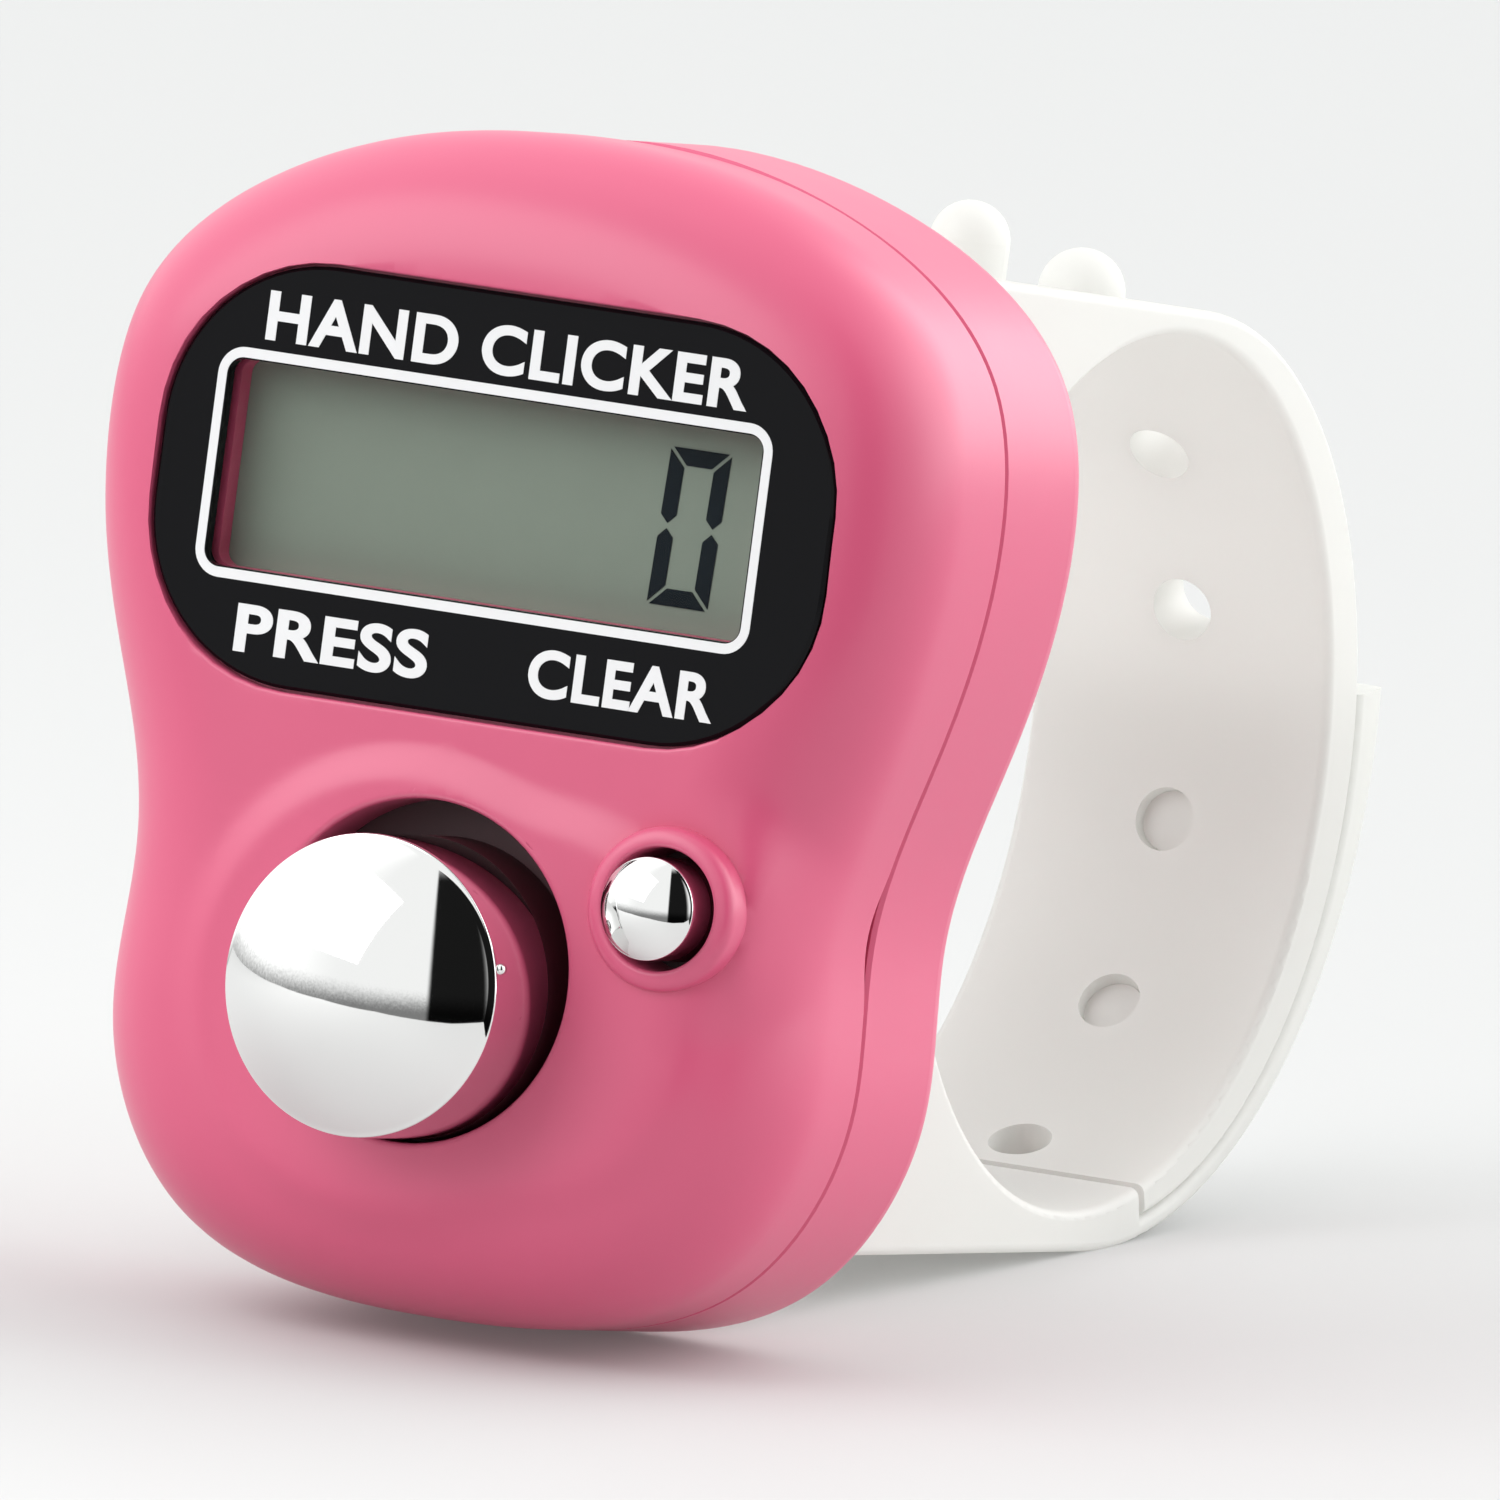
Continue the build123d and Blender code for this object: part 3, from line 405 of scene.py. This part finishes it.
OUTLINE_SAMPLES = 320
ROUND_STEPS, FACE_STEPS = 18, 46
FACE_MIDDLE = np.array([0.0, -8.0])
LIP, ROUND_EASE = 0.22, 0.65
HOLLOW_ROUND = 0.8
BOSS_R, POST_R, POST_FOOT, BOSS_TOP = 1.7, 1.15, -5.0, -1.6
SCREW_BORE_R, SCREW_BORE = 0.77, 3.4
BOARD_BORE_R, BOARD_BORE_FOOT, BOARD_BORE_TOP = 0.47, -6.0, -2.8
PLATEAU_BLEND, PLATEAU_EDGE = 1.6, 0.75              # how the plateau's discs merge, and its soft edge
FILL_DEEP, FILL_SHARE, FILL_FROM, FILL_TO = 1.6, 0.8, 2.5, 5.0     # how the rounding fills out by the collar


def lip_profile(radius, crest, lip, bottom, top):
    """A straight cutter whose mouth flares by a quarter circle as it reaches the surface."""
    flare = [(radius + lip * (1 - cos(t)), crest - lip + lip * sin(t)) for t in np.linspace(0, pi / 2, 7)]
    return [(radius, bottom), *flare, (radius + lip, top)]


def front_shell():
    """The front housing: a rounded shell with a plateau, a collar, the display's recess and two wells."""
    right = CASE_SIDE
    knots = [(0, CASE_TOP), *right, (0, CASE_BOTTOM), *[(-x, h) for x, h in reversed(right)]]
    rim, normal = closed_spline(knots, OUTLINE_SAMPLES)
    rings = []

    def add_ring(inset, out):
        rings.append([(*(p - n * inset), out) for p, n in zip(rim, normal)])

    add_ring(GROOVE, -PARTING)
    add_ring(0, -PARTING + GROOVE)
    # the front edge is rounded a little tighter where the case is widest
    round_r = (FRONT_ROUND - ROUND_EASE * (1 - smooth_step(3, 12, abs(rim[:, 1] - 1.0))))[:, None]
    side_end = FACE_RISE - round_r

    def add_fitted_ring(inset, out):
        rings.append([(*p, float(level)) for p, level in zip(rim - normal * inset, out[:, 0])])

    for share in np.linspace(0, 1, 5)[1:]:
        add_fitted_ring(0 * round_r, GROOVE - PARTING + (side_end - GROOVE + PARTING) * share)
    for turn in np.linspace(0, pi / 2, ROUND_STEPS + 1)[1:]:
        add_fitted_ring(round_r * (1 - cos(turn)), side_end + round_r * sin(turn))
    inner = np.array(rings[-1])[:, :2]
    for share in np.linspace(0, 1, FACE_STEPS + 1)[1:-1]:
        rings.append([(*(p + (FACE_MIDDLE - p) * share), FACE_RISE) for p in inner])
    raised = []
    for ring in rings:
        flat = np.array(ring)
        past = [np.hypot(flat[:, 0] - x, flat[:, 1] - h) - r for x, h, r in PLATEAU_DISCS]
        past = -np.log(sum(np.exp(-one * PLATEAU_BLEND) for one in past)) / PLATEAU_BLEND
        rise = PLATEAU_RISE * (1 - smooth_step(-PLATEAU_EDGE, PLATEAU_EDGE, past))
        rise = rise * smooth_step(-1.0, 0.2, flat[:, 2])
        # the rounding fills out beside the reset collar
        near = np.hypot(flat[:, 0] - RESET_X, flat[:, 1] - RESET_H)
        fill = (FACE_RISE - flat[:, 2]).clip(0, FILL_DEEP) * FILL_SHARE
        rise += fill * (1 - smooth_step(FILL_FROM, FILL_TO, near))
        flat[:, 2] += rise
        raised.append([tuple(point) for point in flat])
    shell = ring_solid("shell", raised)

    inside = []
    for out in (-PARTING - 1, -LCD_DEPTH - HOLLOW_ROUND):
        inside.append([(*(p - n * WALL), out) for p, n in zip(rim, normal)])
    for turn in np.linspace(0, pi / 2, 5)[1:]:
        inset, out = WALL + HOLLOW_ROUND * (1 - cos(turn)), -LCD_DEPTH - HOLLOW_ROUND * (1 - sin(turn))
        inside.append([(*(p - n * inset), out) for p, n in zip(rim, normal)])
    combine(shell, [ring_solid("inside", inside)], "DIFFERENCE")

    posts = [lathed("boss", x, h, [(BOSS_R, -PARTING), (BOSS_R, BOSS_TOP)], 32) for x, h in SCREW_SPOTS]
    posts += [lathed("post", x, h, [(POST_R, POST_FOOT), (POST_R, BOSS_TOP)], 32) for x, h in BOARD_SPOTS]
    crest = FACE_RISE + COLLAR_RISE
    shoulder = [(COLLAR_R - 0.5 + 0.5 * cos(t), crest - 0.42 + 0.42 * sin(t))
                for t in np.linspace(0, pi / 2, 9)]
    collar = [(COLLAR_R + 0.1, BOSS_TOP), (COLLAR_R, crest - 0.45), *shoulder[1:]]
    posts.append(lathed("collar", RESET_X, RESET_H, collar))
    combine(shell, posts, "UNION")

    plateau = FACE_RISE + PLATEAU_RISE
    label = (LABEL_W + 0.2, LABEL_H + 0.2)
    screw_bore = [(SCREW_BORE_R, -PARTING - 1), (SCREW_BORE_R, -PARTING + SCREW_BORE)]
    board_bore = [(BOARD_BORE_R, BOARD_BORE_FOOT), (BOARD_BORE_R, BOARD_BORE_TOP)]
    bores = [lathed("bore", x, h, screw_bore, 24) for x, h in SCREW_SPOTS]
    bores += [lathed("bore", x, h, board_bore, 20) for x, h in BOARD_SPOTS]
    bores += [
        lathed("count_well", COUNT_X, COUNT_HOLE_H,
               lip_profile(COUNT_HOLE_R, plateau, LIP, -3, plateau + 1), 128),
        lathed("reset_well", RESET_X, RESET_H, lip_profile(RESET_HOLE_R, crest, 0.15, -3, crest + 1)),
    ]
    lap = (WINDOW_W + 2 * PANE_LAP, WINDOW_H + 2 * PANE_LAP)
    steps = [rounded_ring((0, 0), (WINDOW_W, WINDOW_H), WINDOW_CORNER, 0, out) for out in (-3, -PANE_BACK)]
    steps += [rounded_ring((0, 0), lap, 0.2, 0, out) for out in (-PANE_BACK, -LABEL_T)]
    steps += [rounded_ring(LABEL_SPOT, label, LABEL_CORNER + 0.1, grow, out)
              for grow, out in lip_profile(0, FACE_RISE, 0.12, -LABEL_T, FACE_RISE + 1)]
    bores.append(ring_solid("display_recess", steps))
    combine(shell, bores, "DIFFERENCE")
    smooth_by_angle(shell, 32)
    hold = shell.modifiers.new("hold_flat", "WEIGHTED_NORMAL")
    hold.keep_sharp = True
    return shell


settle(front_shell(), "front_housing_shell", "case", "pink_plastic", pink, "front_housing")


CAP_WALL, FLANGE_FRONT, FLANGE_BACK, CAP_BACK = 0.9, -1.82, -2.52, -2.6


def button_cap(name, x, h, radius, rim, dome, flange_r):
    """A chromed button: a domed cap with a softened rim, a straight skirt and its retaining flange."""
    ball = (radius**2 + dome**2) / (2 * dome)
    lean = asin(radius / ball)
    soft = min(0.16, radius * 0.06)
    arc = [(ball * sin(t), rim + dome - ball * (1 - cos(t))) for t in np.linspace(0.03, lean * 0.985, 26)]
    edge_r, edge_out = arc[-1]
    corner = [(radius - (radius - edge_r) * (1 - sin(t)) ** 1.5, edge_out - (soft + 0.05) * (1 - cos(t)))
              for t in np.linspace(0, pi / 2, 8)[1:]]
    below = [(radius, 0.5), (radius, FLANGE_FRONT), (flange_r, FLANGE_FRONT), (flange_r, FLANGE_BACK),
             (radius - CAP_WALL, FLANGE_BACK), (radius - CAP_WALL, CAP_BACK)]
    cap = lathed(name, x, h, [*arc, *corner, *below][::-1], 144)
    smooth_by_angle(cap, 40)
    return cap


def paint_flange_shade_below(cap, out):
    """Gives a cap's faces below a level a dark matte: painted shade standing in for the shadow in the gap
    around the skirt and flange.
    """
    cap.data.materials.append(flange_shade_plastic)
    for face in cap.data.polygons:
        spot = Vector(face.center) - face_origin
        face.material_index = int(-spot.dot(back) / MM < out)


def gate_nub(x, h, out, size):
    """The small moulding gate left at a cap's rim."""
    nub = [(size * sin(t), size * cos(t)) for t in np.linspace(0.2, pi - 0.2, 9)]
    return lathed("nub", x, h, [(r, out + along) for r, along in nub], 20)


count_cap = button_cap("count_cap", COUNT_X, COUNT_H, COUNT_R, COUNT_RIM, COUNT_DOME, 6.55)
NUB_TURN = radians(14)
combine(count_cap, [gate_nub(COUNT_X + COUNT_R * cos(NUB_TURN), COUNT_H + COUNT_R * sin(NUB_TURN),
                             COUNT_RIM - 0.35, 0.2)], "UNION")
smooth_by_angle(count_cap, 40)
settle(count_cap, "count_cap", "count_button", "chrome_plated", chrome, "count_button")
# the count cap's lower faces get painted shade for the dark gap around them
paint_flange_shade_below(count_cap, -0.2)
reset_cap = button_cap("reset_cap", RESET_X, RESET_H, RESET_R, RESET_RIM, RESET_DOME, 2.41)
settle(reset_cap, "reset_cap", "reset_button", "chrome_plated", chrome, "reset_button")
# the reset cap's lower faces get painted shade for the dark gap around them
paint_flange_shade_below(reset_cap, -0.2)

# ---------------------------------------------------------------- display and print
DIGIT_X, DIGIT_W, DIGIT_H, BAR, BAR_GAP, DIGIT_DEPTH, DIGIT_LEAN = 6.9, 2.28, 5.3, 0.58, 0.09, 1.69, 0.035
PRINT_RISE = 0.02


def flat_solid(outlines, low, high):
    """Verts and faces of prisms standing on each outline."""
    verts, faces = [], []
    for outline in outlines:
        start, count = len(verts), len(outline)
        verts += [(x, h, low) for x, h in outline] + [(x, h, high) for x, h in outline]
        faces.append(tuple(range(start + count, start + 2 * count)))
        faces.append(tuple(range(start + count - 1, start - 1, -1)))
        for i in range(count):
            j = (i + 1) % count
            faces.append((start + i, start + j, start + count + j, start + count + i))
    return verts, faces


def digit_bars():
    """The six bars of a seven-segment zero, each with mitred ends."""
    bars = []
    half_w, half_h = DIGIT_W / 2, DIGIT_H / 2
    for side in (1, -1):
        level = side * half_h
        bar = [(-half_w + BAR_GAP, level), (half_w - BAR_GAP, level),
               (half_w - BAR - BAR_GAP, level - side * BAR), (-half_w + BAR + BAR_GAP, level - side * BAR)]
        bars.append(bar if side < 0 else bar[::-1])
        for end in (1, -1):
            edge = side * half_w
            near, far = end * BAR_GAP, end * (half_h - BAR_GAP)
            bar = [(edge, near + end * BAR / 2), (edge, far), (edge - side * BAR, far - end * BAR),
                   (edge - side * BAR, near + end * BAR / 2), (edge - side * BAR / 2, near)]
            bars.append(bar if side * end > 0 else bar[::-1])
    return [[(DIGIT_X + x + DIGIT_LEAN * h, h) for x, h in bar] for bar in bars]


def flat_piece(name, outlines, low, high, made, slot, *stands_for):
    """A thin printed or laid-on piece of the case, made of prisms."""
    verts, faces = flat_solid(outlines, low, high)
    mesh = bpy.data.meshes.new(name)
    mesh.from_pydata([place(*v) for v in verts], [], faces)
    shape = bmesh.new()
    shape.from_mesh(mesh)
    bmesh.ops.recalc_face_normals(shape, faces=shape.faces)
    shape.to_mesh(mesh)
    shape.free()
    return settle(link(name, mesh), name, "case", slot, made, *stands_for)


flat_piece("digit_zero", digit_bars(), -DIGIT_DEPTH - 0.03, -DIGIT_DEPTH,
           segment, "lcd_segment", "digit_segments")

frame_line = rounded_block("frame_line", (0, 0), (20.96, 7.74), 0.95, [(0, -0.1), (0, PRINT_RISE)])
combine(frame_line, [rounded_block("hole", (0, 0), (20.3, 7.05), 0.6, [(0, -1), (0, 1)])], "DIFFERENCE")
settle(frame_line, "print_frame", "case", "black_gloss", print_white)


def printed_word(name, word, left, right, low, high, weight):
    """White print: a word fitted into a box on the label, in millimetres."""
    curve = bpy.data.curves.new(name, "FONT")
    curve.body = word
    curve.size = 1.0
    curve.offset = weight
    curve.extrude = 0.01
    curve.space_character = 1.06
    letters = bpy.data.objects.new(name, curve)
    bpy.context.scene.collection.objects.link(letters)
    bpy.context.view_layer.update()
    mesh = bpy.data.meshes.new_from_object(letters.evaluated_get(bpy.context.evaluated_depsgraph_get()))
    bpy.data.objects.remove(letters)
    spots = np.array([v.co for v in mesh.vertices])
    least, most = spots.min(0), spots.max(0)
    for vertex, spot in zip(mesh.vertices, spots):
        share = (spot - least) / (most - least)
        out = -0.04 + (0.04 + PRINT_RISE) * share[2]
        vertex.co = place(left + (right - left) * share[0], low + (high - low) * share[1], out)
    mesh.materials.clear()
    return settle(link(name, mesh), name, "case", "black_gloss", print_white)


printed_word("print_heading", "HAND CLICKER", -8.9, 9.3, 4.2, 5.9, 0.03)
printed_word("print_left", "PRESS", -8.6, -1.3, -6.25, -4.6, 0.03)
printed_word("print_right", "CLEAR", 2.5, 9.5, -6.25, -4.6, 0.03)

# ---------------------------------------------------------------- studio
# the sheet's edge: a distance in metres for each direction, from straight behind the object by its left
FLOOR_EDGE = (
    (-180, 2.5), (-150, 2.0), (-125, 1.1), (-106, 0.42), (-80, 0.30), (-55, 0.235), (-27, 0.18), (0, 0.135),
    (15, 0.112), (30, 0.10), (45, 0.11), (54, 0.16), (62, 0.6), (75, 1.6), (110, 2.2), (150, 2.5),
)

floor_mesh = bpy.data.meshes.new("studio_floor")
edge = [(reach * sin(radians(turn)), -reach * cos(radians(turn)), 0) for turn, reach in FLOOR_EDGE]
wedges = [(0, i + 1, (i + 1) % len(edge) + 1) for i in range(len(edge))]
floor_mesh.from_pydata([(0, 0, 0), *edge], [], wedges)
floor = link("studio_floor", floor_mesh)
floor.location.z = cad_box[0][2]
floor_white = add_grain(material("floor_white", (0.525, 0.525, 0.525), 0.6, Specular_IOR_Level=0.1),
                        40.0, 0.0, colour_shift=0.004)
floor_shader = floor_white.node_tree.nodes["Principled BSDF"]
floor_shader.inputs["Emission Color"].default_value = (0.98, 1.0, 0.99, 1.0)
floor_shader.inputs["Emission Strength"].default_value = 0.08
wear(floor, floor_white)


def studio_world():
    """A white tent with a dark upright gap right of the camera and a thin dark line at the horizon."""
    world = bpy.data.worlds.new("studio")
    bpy.context.scene.world = world
    world.use_nodes = True
    tree = world.node_tree
    shade = tree.nodes["Background"]

    def compute(operation, *values):
        node = tree.nodes.new("ShaderNodeMath")
        node.operation = operation
        for socket, value in zip(node.inputs, values):
            if isinstance(value, (int, float)):
                socket.default_value = value
            else:
                tree.links.new(value, socket)
        return node.outputs[0]

    def ramp(value, low, high, start, end):
        node = tree.nodes.new("ShaderNodeMapRange")
        node.interpolation_type = "SMOOTHSTEP"
        for socket, setting in zip(node.inputs[1:5], (low, high, start, end)):
            socket.default_value = setting
        tree.links.new(value, node.inputs[0])
        return node.outputs[0]

    direction = tree.nodes.new("ShaderNodeTexCoord")
    parts = tree.nodes.new("ShaderNodeSeparateXYZ")
    tree.links.new(direction.outputs["Generated"], parts.inputs[0])
    x, y, z = parts.outputs
    turn = compute("ARCTAN2", x, compute("MULTIPLY", y, -1.0))
    height = compute("ARCSINE", z)
    gap = compute("MULTIPLY", ramp(turn, radians(GAP_LEFT - 1), radians(GAP_LEFT + 2), 0.0, 1.0),
                  ramp(turn, radians(GAP_RIGHT - 4), radians(GAP_RIGHT + 3), 1.0, 0.0))
    gap = compute("MULTIPLY", gap, ramp(height, radians(68), radians(84), 1.0, 0.0))
    grain = tree.nodes.new("ShaderNodeTexNoise")
    grain.inputs["Scale"].default_value = 55.0
    grain.inputs["Detail"].default_value = 4.0
    tree.links.new(direction.outputs["Generated"], grain.inputs["Vector"])
    jitter = compute("MULTIPLY", compute("SUBTRACT", grain.outputs["Fac"], 0.5), radians(7))
    line = ramp(compute("ADD", height, jitter), radians(-6.0), radians(7.0), 0.78, 0.0)
    gap_dim = compute("SUBTRACT", 1.0, compute("MULTIPLY", gap, 0.99))
    dim = compute("MULTIPLY", gap_dim, compute("SUBTRACT", 1.0, line))
    right_wall = compute("MULTIPLY", ramp(turn, radians(70), radians(120), 0.0, 1.0),
                         ramp(height, radians(75), radians(35), 0.0, 1.0))
    left_wall = compute("MULTIPLY", ramp(turn, radians(-20), radians(-80), 0.0, 1.0),
                        ramp(turn, radians(-150), radians(-110), 0.0, 1.0))
    right_light = compute("MULTIPLY", right_wall, RIGHT_GLOW)
    walls = compute("ADD", right_light, compute("MULTIPLY", left_wall, LEFT_GLOW))
    tree.links.new(compute("MULTIPLY", compute("ADD", TENT, walls), dim), shade.inputs["Strength"])
    shade.inputs["Color"].default_value = (0.99, 1.0, 0.995, 1.0)


GAP_LEFT, GAP_RIGHT = 26.0, 60.0
TENT, RIGHT_GLOW, LEFT_GLOW = 1.08, 2.4, 0.4
studio_world()
bpy.context.scene.view_settings.view_transform = "Standard"


def soft_light(name, turn, height, reach, size, radiance):
    """A square softbox, placed by direction and distance from the case and aimed at it."""
    data = bpy.data.lights.new(name, "AREA")
    data.shape = "RECTANGLE"
    data.size, data.size_y = size
    data.energy = radiance * pi * size[0] * size[1]
    light = bpy.data.objects.new(name, data)
    bpy.context.scene.collection.objects.link(light)
    turn, height = radians(turn), radians(height)
    offset = Vector((sin(turn) * cos(height), -cos(turn) * cos(height), sin(height))) * reach
    middle = place(0, -8)
    light.location = middle + offset
    light.rotation_euler = (-offset).to_track_quat("-Z", "Y").to_euler()


soft_light("key", -38, 36, 0.22, (0.20, 0.17), 2.3)
